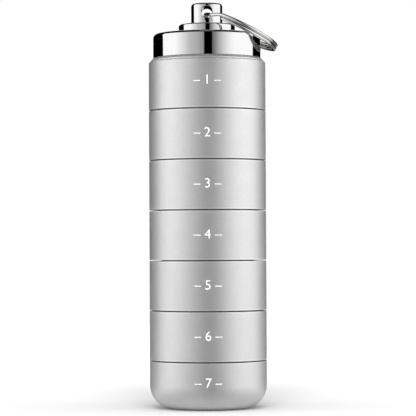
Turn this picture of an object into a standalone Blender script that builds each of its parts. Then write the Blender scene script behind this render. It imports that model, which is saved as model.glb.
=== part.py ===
"""A stackable pill organizer: seven round metal cups that screw together under a swivel lid.

The stack stands on the plane Z = 0 with the middle of its base at the origin, and +Z runs up it.
Cup 7 is the bottom one and cup 1 the top one. The seal of each cup sits in the recess of the piece above it.
A piece turned on the lathe is an outline of (radius, height) points, turned about Z.
"""

import math

import bmesh
import bpy
from mathutils import Vector

MM = 0.001

# Stack
CUP_COUNT = 7
CUP_RADIUS = 15.0 * MM
BASE_CUP_HEIGHT = 12.31 * MM    # from the base to the middle of the first seam
CUP_HEIGHT = 12.785 * MM        # from seam to seam
TOP_CUP_HEIGHT = 13.67 * MM     # from the last cup seam to the lid's seam
SEAM_GAP = 0.3 * MM             # between a shoulder and the rim that is screwed down on it
SEAT_GAP = 0.3 * MM             # between other pieces that rest on each other
EDGE_BREAK = 0.15 * MM          # chamfer on every sharp turned edge

# Cup walls
CUP_WALL = 2.25 * MM            # round the threaded recess
CUP_FLOOR = 1.2 * MM
FLOOR_ROUND = 1.0 * MM
BASE_FLOOR = 2.4 * MM
FOOT_ROUND = 6.4 * MM           # radius of the arc round the foot
FOOT_RISE = 6.1 * MM            # height at which that arc meets the side
FOOT_ARC_STEPS = 6
TOP_ROUND = 0.45 * MM
COLLAR_HEIGHT = 0.85 * MM
COLLAR_STEP = 0.36 * MM         # how far the collar stands out from the lid

# Screw thread between two cups, and under the lid
NECK_HEIGHT = 3.6 * MM
NECK_WALL = 1.1 * MM
THREAD_PITCH = 2.0 * MM
THREAD_DEPTH = 0.65 * MM
THREAD_CLEARANCE = 0.2 * MM
RIB_ROOT_WIDTH = 1.0 * MM
RIB_CREST_WIDTH = 0.44 * MM
RIB_SUNK = 0.3 * MM             # how deep a rib's foot reaches into its wall
RIB_MARGIN = 0.15 * MM
RIB_FADE_STEPS = 2              # steps in which a rib's end sinks into the wall
SEAL_THICKNESS = 0.8 * MM
SEAL_LIP = 0.2 * MM             # how far a seal reaches in past the neck's bore

# Lid
LID_WALL = 1.09 * MM
LID_HEIGHT = 6.0 * MM           # from its rim to the edge of its top
LID_CROWN = 0.25 * MM
LID_ROUND = 1.6 * MM
SWIVEL_HOLE_CLEARANCE = 0.3 * MM

# Swivel post
POST_RADIUS = 4.13 * MM
POST_HEIGHT = 5.67 * MM         # above its flange
POST_ROUND = 1.0 * MM
FLANGE_RADIUS = 7.25 * MM
FLANGE_THICKNESS = 1.6 * MM
FLANGE_ROUND = 0.95 * MM
SHANK_RADIUS = 2.0 * MM
CROSS_HOLE_RADIUS = 1.4 * MM
CROSS_HOLE_DROP = 2.57 * MM     # from the post's top to the hole's axis
CROSS_HOLE_SINK = 0.4 * MM      # countersink at each mouth

# Pieces that hold the post in the lid
SHANK_SEAL_WIRE = 0.35 * MM
SHANK_SEAL_GAP = 0.4 * MM       # round the shank
WASHER_RADIUS = 4.4 * MM
WASHER_THICKNESS = 0.5 * MM
SCREW_RADIUS = 1.0 * MM
SCREW_REACH = 3.0 * MM          # inside the post
SCREW_TIP_ROOM = 0.6 * MM
SCREW_HEAD_RADIUS = 3.2 * MM
SCREW_HEAD_HEIGHT = 1.1 * MM
SCREW_HEAD_ROUND = 0.4 * MM
SCREW_SLOT_WIDTH = 0.8 * MM
SCREW_SLOT_DEPTH = 0.5 * MM

# Split ring
RING_RADIUS = 9.5 * MM          # to the middle of the wire
RING_WIRE = 0.9 * MM
COIL_GAP = 0.43 * MM            # between its two coils, where they lie side by side
RING_FREE_END_DEG = 60.0        # counted from the cross hole towards the front
RING_CROSSOVER_DEG = (375.0, 420.0)
RING_LAST_END_DEG = 630.0
RING_STEP_DEG = 15.0
RING_AT_HOLE_DEG = 40.0         # the stretch each side of the hole that is left out of its gap to the lid
DROOP_STEP_DEG = 0.1

TURN_STEPS = 32
ROUND_STEPS = 3
SMALL_TURN_STEPS = 20
SEAL_WIRE_STEPS = 8
SHARP_DEG = 35.0
CUT_OVERRUN = 1.0 * MM
MERGE_DISTANCE = 0.0001 * MM

# Sizes that follow from the ones above
RECESS_RADIUS = CUP_RADIUS - CUP_WALL
THREAD_CREST = RECESS_RADIUS - THREAD_CLEARANCE
NECK_RADIUS = THREAD_CREST - THREAD_DEPTH
CAVITY_RADIUS = NECK_RADIUS - NECK_WALL
NECK_TOP = NECK_HEIGHT - SEAM_GAP               # above the rim of the piece that is screwed on
SEAL_BOTTOM = NECK_TOP + SEAT_GAP
RECESS_DEPTH = SEAL_BOTTOM + SEAL_THICKNESS + SEAT_GAP

LID_RADIUS = RECESS_RADIUS + LID_WALL
COLLAR_RADIUS = LID_RADIUS + COLLAR_STEP
LID_RIM = BASE_CUP_HEIGHT + (CUP_COUNT - 2) * CUP_HEIGHT + TOP_CUP_HEIGHT + SEAM_GAP / 2
LID_TOP = LID_HEIGHT + LID_CROWN                # these heights are above the lid's rim
SWIVEL_HOLE_RADIUS = SHANK_RADIUS + SWIVEL_HOLE_CLEARANCE
SHANK_SEAL_RADIUS = SHANK_RADIUS + SHANK_SEAL_GAP + SHANK_SEAL_WIRE
SEAL_POCKET_RADIUS = SHANK_SEAL_RADIUS + SHANK_SEAL_WIRE + SEAT_GAP
SEAL_POCKET_DEPTH = 2 * SHANK_SEAL_WIRE + SEAT_GAP

POST_SEAT = LID_RIM + LID_TOP + SEAT_GAP        # underside of the flange
POST_TOP = POST_SEAT + FLANGE_THICKNESS + POST_HEIGHT
CROSS_HOLE_Z = POST_TOP - CROSS_HOLE_DROP
CEILING_Z = LID_RIM + RECESS_DEPTH
WASHER_TOP = CEILING_Z - SEAT_GAP
SCREW_SEAT = WASHER_TOP - WASHER_THICKNESS - SEAT_GAP
SCREW_TIP = CEILING_Z + SCREW_REACH
SCREW_BORE_RADIUS = SCREW_RADIUS + SEAT_GAP

COIL_RISE = RING_WIRE + COIL_GAP


def arc(radius_at, height_at, size, start_deg, end_deg, steps=ROUND_STEPS):
    """Points on a round stretch of an outline, about the centre (radius_at, height_at)."""
    angles = [math.radians(start_deg + (end_deg - start_deg) * i / steps) for i in range(steps + 1)]
    return [(radius_at + size * math.cos(a), height_at + size * math.sin(a)) for a in angles]


def turned(name, outline, closed=False, steps=TURN_STEPS):
    """A solid of revolution about Z. An open outline starts and ends on the axis."""
    shape = bmesh.new()
    points = [shape.verts.new((radius, 0, height)) for radius, height in outline]
    for first, second in zip(points, points[1:]):
        shape.edges.new((first, second))
    if closed:
        shape.edges.new((points[-1], points[0]))
    bmesh.ops.spin(
        shape,
        geom=shape.verts[:] + shape.edges[:],
        cent=(0, 0, 0),
        axis=(0, 0, 1),
        angle=math.tau,
        steps=steps,
        use_merge=True,
    )
    bmesh.ops.remove_doubles(shape, verts=shape.verts, dist=MERGE_DISTANCE)
    return finished(name, shape)


def finished(name, shape):
    """Turns the faces outwards and shades the round ones smooth."""
    bmesh.ops.recalc_face_normals(shape, faces=shape.faces)
    mesh = bpy.data.meshes.new(name)
    shape.to_mesh(mesh)
    shape.free()
    shade(mesh)
    return mesh


def shade(mesh):
    mesh.shade_smooth()
    mesh.set_sharp_from_angle(angle=math.radians(SHARP_DEG))


def boolean(mesh, tool, operation):
    """The first mesh with the second one joined to it or cut from it."""
    body = bpy.data.objects.new(mesh.name, mesh)
    other = bpy.data.objects.new(tool.name, tool)
    for obj in (body, other):
        bpy.context.scene.collection.objects.link(obj)
    modifier = body.modifiers.new(operation, "BOOLEAN")
    modifier.operation = operation
    modifier.solver = "EXACT"
    modifier.object = other
    graph = bpy.context.evaluated_depsgraph_get()
    result = bpy.data.meshes.new_from_object(body.evaluated_get(graph))
    result.name = mesh.name
    for obj in (body, other):
        bpy.data.objects.remove(obj)
    shade(result)
    return result


def thread_rib(name, wall, crest, low, high, phase):
    """A helical rib on a wall of radius wall, with its middle between the heights low and high.

    It stands out to the radius crest, and phase is the share of a pitch by which it is raised.
    """
    outward = 1 if crest > wall else -1
    first = math.ceil((low / THREAD_PITCH - phase) * TURN_STEPS)
    last = math.floor((high / THREAD_PITCH - phase) * TURN_STEPS)
    shape = bmesh.new()
    sections = []
    for step in range(first, last + 1):
        angle = math.tau * step / TURN_STEPS
        middle = THREAD_PITCH * (step / TURN_STEPS + phase)
        grown = min(1, (step - first) / RIB_FADE_STEPS, (last - step) / RIB_FADE_STEPS)
        foot = wall - outward * RIB_SUNK
        faded = wall - outward * RIB_SUNK / 2
        tip = faded + grown * (crest - faded)
        corners = (
            (foot, middle - RIB_ROOT_WIDTH / 2),
            (tip, middle - RIB_CREST_WIDTH / 2),
            (tip, middle + RIB_CREST_WIDTH / 2),
            (foot, middle + RIB_ROOT_WIDTH / 2),
        )
        places = [(r * math.cos(angle), r * math.sin(angle), z) for r, z in corners]
        sections.append([shape.verts.new(place) for place in places])
    for here, after in zip(sections, sections[1:]):
        for i in range(len(here)):
            shape.faces.new((here[i - 1], here[i], after[i], after[i - 1]))
    shape.faces.new(sections[0])
    shape.faces.new(reversed(sections[-1]))
    return finished(name, shape)


def raised(mesh, height):
    """The mesh, moved up in its own frame."""
    for vertex in mesh.vertices:
        vertex.co.z += height
    return mesh


def with_neck_thread(mesh, shoulder):
    """Adds the outside thread to the neck above a shoulder."""
    low = RIB_ROOT_WIDTH / 2 + RIB_MARGIN - SEAM_GAP
    high = NECK_TOP - EDGE_BREAK - RIB_ROOT_WIDTH / 2
    rib = thread_rib("neck_rib", NECK_RADIUS, THREAD_CREST, low, high, 0)
    return boolean(mesh, raised(rib, shoulder + SEAM_GAP), "UNION")


def with_recess_thread(mesh):
    """Adds the inside thread to the recess above a rim, half a pitch away from the neck's thread."""
    crest = NECK_RADIUS + THREAD_CLEARANCE
    low = EDGE_BREAK + RIB_ROOT_WIDTH / 2
    high = SEAL_BOTTOM - SEAT_GAP - RIB_ROOT_WIDTH / 2
    rib = thread_rib("recess_rib", RECESS_RADIUS, crest, low, high, 1 / 2)
    return boolean(mesh, rib, "UNION")


def recess_outline():
    """From the middle of the recess's ceiling down to the outer edge of its rim."""
    return [
        (0, RECESS_DEPTH),
        (RECESS_RADIUS, RECESS_DEPTH),
        (RECESS_RADIUS, EDGE_BREAK),
        (RECESS_RADIUS + EDGE_BREAK, 0),
    ]


def neck_and_cavity_outline(shoulder, floor):
    """From the foot of the neck, over its top and down to the middle of the cup's floor."""
    top = shoulder + NECK_HEIGHT
    return [
        (NECK_RADIUS, shoulder),
        (NECK_RADIUS, top - EDGE_BREAK),
        (NECK_RADIUS - EDGE_BREAK, top),
        (CAVITY_RADIUS, top),
        (CAVITY_RADIUS, floor + FLOOR_ROUND),
        (CAVITY_RADIUS - FLOOR_ROUND, floor),
        (0, floor),
    ]


def plain_shoulder_outline(shoulder):
    return [(CUP_RADIUS, shoulder - EDGE_BREAK), (CUP_RADIUS - EDGE_BREAK, shoulder)]


def collared_shoulder_outline(shoulder):
    """The top cup's rounded edge and the narrow collar that the lid closes on."""
    step = shoulder - COLLAR_HEIGHT
    round_edge = arc(CUP_RADIUS - TOP_ROUND, step - TOP_ROUND, TOP_ROUND, 0, 90)
    collar = [
        (COLLAR_RADIUS, step),
        (COLLAR_RADIUS, shoulder - EDGE_BREAK),
        (COLLAR_RADIUS - EDGE_BREAK, shoulder),
    ]
    return round_edge + collar


def base_cup_mesh():
    """The bottom cup, closed below, with a rounded foot. Its frame starts at the base."""
    shoulder = BASE_CUP_HEIGHT - SEAM_GAP / 2
    foot_centre = CUP_RADIUS - FOOT_ROUND
    start_deg = -math.degrees(math.asin(min(1, FOOT_RISE / FOOT_ROUND)))
    foot = arc(foot_centre, FOOT_RISE, FOOT_ROUND, start_deg, 0, FOOT_ARC_STEPS)
    outline = [(0, 0)] + foot + plain_shoulder_outline(shoulder)
    outline += neck_and_cavity_outline(shoulder, BASE_FLOOR)
    return with_neck_thread(turned("base_cup", outline), shoulder)


def stacking_cup_mesh(name, height, shoulder_outline):
    """A cup that screws onto the one below. Its frame starts at its rim."""
    shoulder = height - SEAM_GAP
    outline = recess_outline()
    outline += [(CUP_RADIUS - EDGE_BREAK, 0), (CUP_RADIUS, EDGE_BREAK)]
    outline += shoulder_outline(shoulder)
    outline += neck_and_cavity_outline(shoulder, RECESS_DEPTH + CUP_FLOOR)
    return with_recess_thread(with_neck_thread(turned(name, outline), shoulder))


def lid_outline():
    """A closed outline, because the swivel hole runs right through."""
    edge = arc(LID_RADIUS - LID_ROUND, LID_HEIGHT - LID_ROUND, LID_ROUND, 0, 90)
    pocket_floor = LID_TOP - SEAL_POCKET_DEPTH
    rim = [(LID_RADIUS - EDGE_BREAK, 0), (LID_RADIUS, EDGE_BREAK)]
    pocket = [
        (SEAL_POCKET_RADIUS, LID_TOP),
        (SEAL_POCKET_RADIUS, pocket_floor),
        (SWIVEL_HOLE_RADIUS, pocket_floor),
    ]
    return [(SWIVEL_HOLE_RADIUS, RECESS_DEPTH)] + recess_outline()[1:] + rim + edge + pocket


def lid_mesh():
    return with_recess_thread(turned("lid", lid_outline(), closed=True))


def post_outline():
    """The flanged post, from the top of its screw bore to the middle of its top. Heights start at the flange."""
    shank_end = CEILING_Z - POST_SEAT
    bore_top = SCREW_TIP + SCREW_TIP_ROOM - POST_SEAT
    flange_edge = arc(FLANGE_RADIUS - FLANGE_ROUND, FLANGE_THICKNESS - FLANGE_ROUND, FLANGE_ROUND, 0, 90)
    top = FLANGE_THICKNESS + POST_HEIGHT
    post_edge = arc(POST_RADIUS - POST_ROUND, top - POST_ROUND, POST_ROUND, 0, 90)
    under = [
        (0, bore_top),
        (SCREW_BORE_RADIUS, bore_top),
        (SCREW_BORE_RADIUS, shank_end),
        (SHANK_RADIUS, shank_end),
        (SHANK_RADIUS, 0),
        (FLANGE_RADIUS - EDGE_BREAK, 0),
        (FLANGE_RADIUS, EDGE_BREAK),
    ]
    return under + flange_edge + [(POST_RADIUS, FLANGE_THICKNESS)] + post_edge + [(0, top)]


def post_mesh():
    """The post with its cross hole, which runs from front to back and is countersunk at both mouths."""
    mouth = POST_RADIUS + CUT_OVERRUN
    wide = CROSS_HOLE_RADIUS + CROSS_HOLE_SINK + CUT_OVERRUN
    narrow_end = POST_RADIUS - CROSS_HOLE_SINK
    cutter_outline = [
        (0, -mouth),
        (wide, -mouth),
        (CROSS_HOLE_RADIUS, -narrow_end),
        (CROSS_HOLE_RADIUS, narrow_end),
        (wide, mouth),
        (0, mouth),
    ]
    cutter = turned("cross_hole", cutter_outline, steps=SMALL_TURN_STEPS)
    for vertex in cutter.vertices:
        x, y, z = vertex.co
        vertex.co = (x, -z, y + CROSS_HOLE_Z - POST_SEAT)
    return boolean(turned("swivel_post", post_outline()), cutter, "DIFFERENCE")


def ring_section(inner, outer, bottom, top):
    """The closed rectangular outline of a flat ring."""
    return [(inner, bottom), (outer, bottom), (outer, top), (inner, top)]


def cup_seal_mesh():
    """A flat silicone ring. Its frame starts at its underside."""
    outline = ring_section(CAVITY_RADIUS - SEAL_LIP, RECESS_RADIUS - SEAT_GAP, 0, SEAL_THICKNESS)
    return turned("cup_seal", outline, closed=True)


def shank_seal_mesh():
    outline = arc(SHANK_SEAL_RADIUS, 0, SHANK_SEAL_WIRE, 0, 360, SEAL_WIRE_STEPS)[:-1]
    return turned("shank_seal", outline, closed=True, steps=SMALL_TURN_STEPS)


def washer_mesh():
    outline = ring_section(SCREW_BORE_RADIUS, WASHER_RADIUS, -WASHER_THICKNESS, 0)
    return turned("retaining_washer", outline, closed=True, steps=SMALL_TURN_STEPS)


def screw_mesh():
    """A slotted pan-head screw, head down. Its frame starts under the head's bearing face."""
    tip = SCREW_TIP - SCREW_SEAT
    head_edge = arc(
        SCREW_HEAD_RADIUS - SCREW_HEAD_ROUND, SCREW_HEAD_ROUND - SCREW_HEAD_HEIGHT, SCREW_HEAD_ROUND, -90, 0
    )
    outline = [(0, -SCREW_HEAD_HEIGHT)] + head_edge
    outline += [
        (SCREW_HEAD_RADIUS, 0),
        (SCREW_RADIUS, 0),
        (SCREW_RADIUS, tip - EDGE_BREAK),
        (SCREW_RADIUS - EDGE_BREAK, tip),
        (0, tip),
    ]
    slot = bmesh.new()
    bmesh.ops.create_cube(slot, size=1)
    length = 2 * (SCREW_HEAD_RADIUS + CUT_OVERRUN)
    depth = SCREW_SLOT_DEPTH + CUT_OVERRUN
    bmesh.ops.scale(slot, vec=(length, SCREW_SLOT_WIDTH, depth), verts=slot.verts)
    middle = SCREW_SLOT_DEPTH - SCREW_HEAD_HEIGHT - depth / 2
    bmesh.ops.translate(slot, vec=(0, 0, middle), verts=slot.verts)
    screw = turned("post_screw", outline, steps=SMALL_TURN_STEPS)
    return boolean(screw, finished("screw_slot", slot), "DIFFERENCE")


def coil_offset(degrees):
    """Where a point of the wire lies between its two coils: -1 on the lower one, 1 on the upper one."""
    start, end = RING_CROSSOVER_DEG
    share = min(1, max(0, (degrees - start) / (end - start)))
    return 2 * share - 1


def split_ring_points(droop):
    """The wire's middle line, from the cross hole's middle, for a ring that droops by an angle to the right.

    Degrees run from the hole round the front. The lower coil passes through the hole.
    """
    along = Vector((math.cos(droop), 0, -math.sin(droop)))
    across = Vector((0, 1, 0))
    normal = Vector((math.sin(droop), 0, math.cos(droop)))
    bow = RING_RADIUS - math.sqrt(RING_RADIUS**2 - POST_RADIUS**2)
    centre = along * (RING_RADIUS - bow / 2) + normal * COIL_RISE / 2
    steps = round((RING_LAST_END_DEG - RING_FREE_END_DEG) / RING_STEP_DEG)
    points = []
    for step in range(steps + 1):
        degrees = RING_FREE_END_DEG + (RING_LAST_END_DEG - RING_FREE_END_DEG) * step / steps
        angle = math.radians(degrees)
        flat = (along * math.cos(angle) + across * math.sin(angle)) * RING_RADIUS
        points.append((degrees, centre - flat + normal * COIL_RISE / 2 * coil_offset(degrees)))
    return points


def distance_to_outline(radius, height, outline):
    """The least distance in the (radius, height) plane from a point to the edges of an outline."""
    point = Vector((radius, height))
    least = math.inf
    for first, second in zip(outline, outline[1:]):
        start = Vector(first)
        run = Vector(second) - start
        share = min(1, max(0, (point - start).dot(run) / run.length_squared)) if run.length else 0
        least = min(least, (point - start - run * share).length)
    return least


def ring_gap(droop):
    """The least gap between the ring and the lid or flange that it lies over, with the hole's stretch left out."""
    lid = [(radius, LID_RIM + height) for radius, height in lid_outline()]
    post = [(radius, POST_SEAT + height) for radius, height in post_outline()]
    least = math.inf
    for degrees, point in split_ring_points(droop):
        turn = degrees % 360
        if RING_AT_HOLE_DEG < turn < 360 - RING_AT_HOLE_DEG:
            radius = math.hypot(point.x, point.y)
            height = CROSS_HOLE_Z + point.z
            near = min(distance_to_outline(radius, height, outline) for outline in (lid, post))
            least = min(least, near)
    return least - RING_WIRE / 2


def resting_droop():
    """The steepest droop at which the ring, swung down from level, still clears the lid's edge."""
    step = math.radians(DROOP_STEP_DEG)
    droop = 0
    while droop < math.pi / 2 and ring_gap(droop + step) >= SEAT_GAP:
        droop += step
    return droop


def print_coil_gap(points):
    """Prints the least gap between the two coils, between points more than half a turn apart."""
    least = math.inf
    for index, (degrees, point) in enumerate(points):
        for other_degrees, other in points[index + 1:]:
            if other_degrees - degrees > 180:
                least = min(least, (point - other).length)
    print(f"split ring: least gap to itself {(least - RING_WIRE) / MM:.2f} mm")


def split_ring():
    """The wire of the split ring as a bevelled curve, with its origin on the axis it swings about."""
    droop = resting_droop()
    points = split_ring_points(droop)
    print(f"split ring: droops {math.degrees(droop):.1f} degrees, gap to the lid {ring_gap(droop) / MM:.2f} mm")
    print_coil_gap(points)
    curve = bpy.data.curves.new("split_ring", "CURVE")
    curve.dimensions = "3D"
    curve.bevel_depth = RING_WIRE / 2
    curve.bevel_resolution = 2
    curve.use_fill_caps = True
    spline = curve.splines.new("POLY")
    spline.points.add(len(points) - 1)
    for slot, (_, point) in zip(spline.points, points):
        slot.co = (*point, 1)
        slot.radius = 1
    spline.use_smooth = True
    return curve


def material(name, colour, roughness, metallic):
    made = bpy.data.materials.new(name)
    made.use_nodes = True
    shader = made.node_tree.nodes["Principled BSDF"]
    shader.inputs["Base Color"].default_value = (*colour, 1)
    shader.inputs["Roughness"].default_value = roughness
    shader.inputs["Metallic"].default_value = metallic
    return made


def add(name, data, finish, height, parent=None):
    """Adds a piece at a height on the stack's axis, carried by the piece below it."""
    piece = bpy.data.objects.new(name, data)
    if not data.materials:
        data.materials.append(finish)
    bpy.context.scene.collection.objects.link(piece)
    piece.location.z = height - height_of(parent)
    piece.parent = parent
    return piece


def height_of(piece):
    """The height of a piece's origin above the base, through the pieces that carry it."""
    height = 0
    while piece:
        height += piece.location.z
        piece = piece.parent
    return height


def clear_scene():
    for obj in list(bpy.data.objects):
        bpy.data.objects.remove(obj)


def build():
    clear_scene()
    satin = material("satin_aluminium", (0.70, 0.71, 0.72), 0.38, 1.0)
    chrome = material("polished_chrome", (0.86, 0.87, 0.88), 0.06, 1.0)
    silicone = material("clear_silicone", (0.80, 0.81, 0.80), 0.45, 0.0)
    rubber = material("black_rubber", (0.03, 0.03, 0.03), 0.60, 0.0)
    steel = material("bright_steel", (0.62, 0.62, 0.61), 0.25, 1.0)

    middle_cup = stacking_cup_mesh("stacking_cup", CUP_HEIGHT, plain_shoulder_outline)
    top_cup = stacking_cup_mesh("top_cup", TOP_CUP_HEIGHT, collared_shoulder_outline)
    seal = cup_seal_mesh()

    below = add(f"cup_day_{CUP_COUNT}", base_cup_mesh(), satin, 0)
    rim = BASE_CUP_HEIGHT + SEAM_GAP / 2
    for day in range(CUP_COUNT - 1, 0, -1):
        below = add(f"seal_day_{day + 1}", seal, silicone, rim + SEAL_BOTTOM, below)
        below = add(f"cup_day_{day}", top_cup if day == 1 else middle_cup, satin, rim, below)
        rim += TOP_CUP_HEIGHT if day == 1 else CUP_HEIGHT

    lid_seal = add("seal_day_1", seal, silicone, LID_RIM + SEAL_BOTTOM, below)
    lid = add("lid", lid_mesh(), chrome, LID_RIM, lid_seal)
    pocket_floor = LID_RIM + LID_TOP - SEAL_POCKET_DEPTH
    add("shank_seal", shank_seal_mesh(), rubber, pocket_floor + SEAT_GAP + SHANK_SEAL_WIRE, lid)
    post = add("swivel_post", post_mesh(), chrome, POST_SEAT, lid)
    add("retaining_washer", washer_mesh(), steel, WASHER_TOP, post)
    add("post_screw", screw_mesh(), steel, SCREW_SEAT, post)
    add("split_ring", split_ring(), chrome, CROSS_HOLE_Z, post)


build()
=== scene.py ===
# %% [markdown]
# # A stackable pill organizer, made look real
#
# Seven short metal cups screw into one another. A chrome lid with a swivel post closes the top one, and a
# split key ring hangs from the post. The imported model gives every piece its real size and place. This
# script gives each piece a finer surface and its finish, and stands the whole in the photographer's light.

# %% Load the fixed frame
import math
from functools import partial

import bmesh
import bpy
from mathutils import Matrix, Vector


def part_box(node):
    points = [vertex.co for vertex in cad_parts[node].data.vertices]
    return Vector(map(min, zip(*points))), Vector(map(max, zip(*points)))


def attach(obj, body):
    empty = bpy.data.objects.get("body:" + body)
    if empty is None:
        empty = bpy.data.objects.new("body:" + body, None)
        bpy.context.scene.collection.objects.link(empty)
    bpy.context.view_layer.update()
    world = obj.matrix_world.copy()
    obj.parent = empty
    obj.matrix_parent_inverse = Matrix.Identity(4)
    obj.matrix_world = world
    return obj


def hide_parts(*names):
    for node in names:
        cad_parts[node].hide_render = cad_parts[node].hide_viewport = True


MM = 0.001
DAYS = range(1, 8)              # cup 1 is the top one and cup 7 the bottom one

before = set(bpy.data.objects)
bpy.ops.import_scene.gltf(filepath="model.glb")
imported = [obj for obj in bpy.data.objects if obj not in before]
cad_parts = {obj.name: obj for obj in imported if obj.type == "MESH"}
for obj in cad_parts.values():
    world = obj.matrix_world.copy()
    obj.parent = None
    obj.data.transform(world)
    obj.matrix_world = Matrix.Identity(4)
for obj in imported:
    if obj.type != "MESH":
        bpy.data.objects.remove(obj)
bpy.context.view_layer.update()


# %% Put things in the scene
def new_object(name, data):
    """An object in the scene that shows a mesh, a lamp or a camera."""
    made = bpy.data.objects.new(name, data)
    bpy.context.scene.collection.objects.link(made)
    return made


# %% [markdown]
# ## The camera
#
# A product photograph of something this small is taken from far away with a long lens, so that the sides
# stay parallel. The place, tilt and lens below come from fitting a camera to the seams and sides of the
# stack. The camera stands a little below the middle of the stack and looks slightly up.

# %% The photographer's camera
CAMERA_PLACE = (0, -570.1 * MM, 41.7 * MM)
CAMERA_PITCH_DEG = 0.964
CAMERA_YAW_DEG = -0.008
CAMERA_ROLL_DEG = -0.268
LENS_PIXELS = 2217.1            # focal length, in pixels of a picture 416 pixels wide
PICTURE_WIDTH = 416
SENSOR_WIDTH = 36.0

camera_data = bpy.data.cameras.new("camera")
camera_data.sensor_width = SENSOR_WIDTH
camera_data.lens = LENS_PIXELS * SENSOR_WIDTH / PICTURE_WIDTH
camera_data.clip_start = 10 * MM
camera = new_object("camera", camera_data)
camera.matrix_world = (
    Matrix.Translation(CAMERA_PLACE)
    @ Matrix.Rotation(math.radians(CAMERA_YAW_DEG), 4, "Z")
    @ Matrix.Rotation(math.radians(90 + CAMERA_PITCH_DEG), 4, "X")
    @ Matrix.Rotation(math.radians(CAMERA_ROLL_DEG), 4, "Z")
)
bpy.context.scene.camera = camera
bpy.context.scene.view_settings.view_transform = "Standard"
print(f"lens: {camera_data.lens:.0f} mm")

# %% [markdown]
# ## Helpers for node trees
#
# Materials and Geometry Nodes are both trees of nodes. Writing them by hand takes many lines, so one helper
# adds a node with its inputs, and three more give the result of a node, of a single sum, and of a ramp from
# one value to another. An input may be a value, or the output of another node. Inside a tree, calc is short
# for a sum in that tree.

# %% Add nodes
def add_node(tree, kind, inputs=None, **settings):
    """Adds a node. Its inputs are keyed by name or by number, and are values or other nodes' outputs."""
    node = tree.nodes.new(kind)
    for name, value in settings.items():
        setattr(node, name, value)
    for name, value in (inputs or {}).items():
        if isinstance(value, bpy.types.NodeSocket):
            tree.links.new(value, node.inputs[name])
        else:
            node.inputs[name].default_value = value
    return node


def result_of(tree, kind, inputs=None, **settings):
    """The first output of a new node."""
    return add_node(tree, kind, inputs, **settings).outputs[0]


def sum_of(tree, operation, *terms):
    """The output of one Math node."""
    return result_of(tree, "ShaderNodeMath", dict(enumerate(terms)), operation=operation)


def ramp(tree, value, low, high, start=0.0, end=1.0, kind="LINEAR"):
    """Runs from start to end while a value goes from low to high."""
    inputs = {"Value": value, "From Min": low, "From Max": high, "To Min": start, "To Max": end}
    return result_of(tree, "ShaderNodeMapRange", inputs, interpolation_type=kind)


# %% [markdown]
# ## Finishes
#
# Each finish is a Principled BSDF. What tells one metal from another is less its colour than how it breaks
# up a reflection, so the detail goes into roughness and bump. All patterns read Object coordinates in
# metres, which means that a grain of 0.2 mm has a scale of 1 / 0.0002.

# %% Start a finish
def new_finish(name, colour, roughness, metallic=0.0):
    """A material with these values on its Principled BSDF. Returns it with its tree and shader."""
    made = bpy.data.materials.new(name)
    made.use_nodes = True
    shader = made.node_tree.nodes["Principled BSDF"]
    shader.inputs["Base Color"].default_value = (*colour, 1)
    shader.inputs["Roughness"].default_value = roughness
    shader.inputs["Metallic"].default_value = metallic
    return made, made.node_tree, shader


# %% Patterns with real sizes
NOISE_RANGE = (0.3, 0.7)        # where most values of a noise lie


def noise(tree, size, detail=2.0):
    """Noise with features of a real size, from 0 to 1."""
    where = add_node(tree, "ShaderNodeTexCoord").outputs["Object"]
    return result_of(tree, "ShaderNodeTexNoise", {"Vector": where, "Scale": 1 / size, "Detail": detail})


def spread(tree, value, low, high):
    """The usual values of a noise, spread over another range."""
    return ramp(tree, value, *NOISE_RANGE, low, high)


def bump(tree, shader, height, depth):
    """Raises the surface where height is 1, by a real depth."""
    raised = result_of(tree, "ShaderNodeBump", {"Height": height, "Distance": depth})
    tree.links.new(raised, shader.inputs["Normal"])


def uneven(tree, shader, size, depth, detail=2.0):
    """Dents of a real size and depth."""
    bump(tree, shader, noise(tree, size, detail), depth)


def patchy(tree, shader, size, low, high, detail=2.0):
    """Lets the roughness wander between two values, in patches of a real size."""
    tree.links.new(spread(tree, noise(tree, size, detail), low, high), shader.inputs["Roughness"])


# %% [markdown]
# ### Bead-blasted aluminium
#
# The cups are turned, then blasted with fine glass beads and anodised clear. The blasting leaves tiny dents
# all over, about 0.2 mm across, which scatter the light into broad soft bands. A bump of that size gives
# the grain seen up close, and the roughness does the rest. The colour is darker in the dents and lighter
# between them, painted shade. Along both edges of each seam the colour is painted lighter: a painted
# highlight where the seam's rounds catch the light. The seams lie at equal steps, so the distance to the
# nearest one is a ping-pong of the height.

# %% The painted highlights along the seams
LOWEST_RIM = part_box("cup_day_6")[0].z
CUP_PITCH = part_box("cup_day_5")[0].z - LOWEST_RIM
RIM_TO_SEAM = 0.175 * MM        # from an upper cup's rim down to the middle of its seam
LINE_START, LINE_END = 0.16 * MM, 0.60 * MM     # from the seam's middle
LINE_FADE = 0.22 * MM           # over which it comes in, from either side
# painted highlight: how much lighter the colour is along both edges of each seam
PAINTED_HIGHLIGHT_GAIN = 0.13


def painted_seam_highlights(tree):
    """The painted highlight that the lines next to the seams add to the metal's colour."""
    calc = partial(sum_of, tree)
    where = add_node(tree, "ShaderNodeTexCoord").outputs["Object"]
    height = add_node(tree, "ShaderNodeSeparateXYZ", {0: where}).outputs[2]
    above_seam = calc("SUBTRACT", height, LOWEST_RIM - RIM_TO_SEAM)
    away = calc("PINGPONG", above_seam, CUP_PITCH / 2)
    inside = calc("MINIMUM", calc("SUBTRACT", away, LINE_START), calc("SUBTRACT", LINE_END, away))
    return ramp(tree, inside, 0, LINE_FADE, 0, PAINTED_HIGHLIGHT_GAIN)


print(f"seams: {CUP_PITCH / MM:.2f} mm apart")

# %% Satin aluminium
SATIN_COLOUR = (0.855, 0.855, 0.855)
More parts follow.
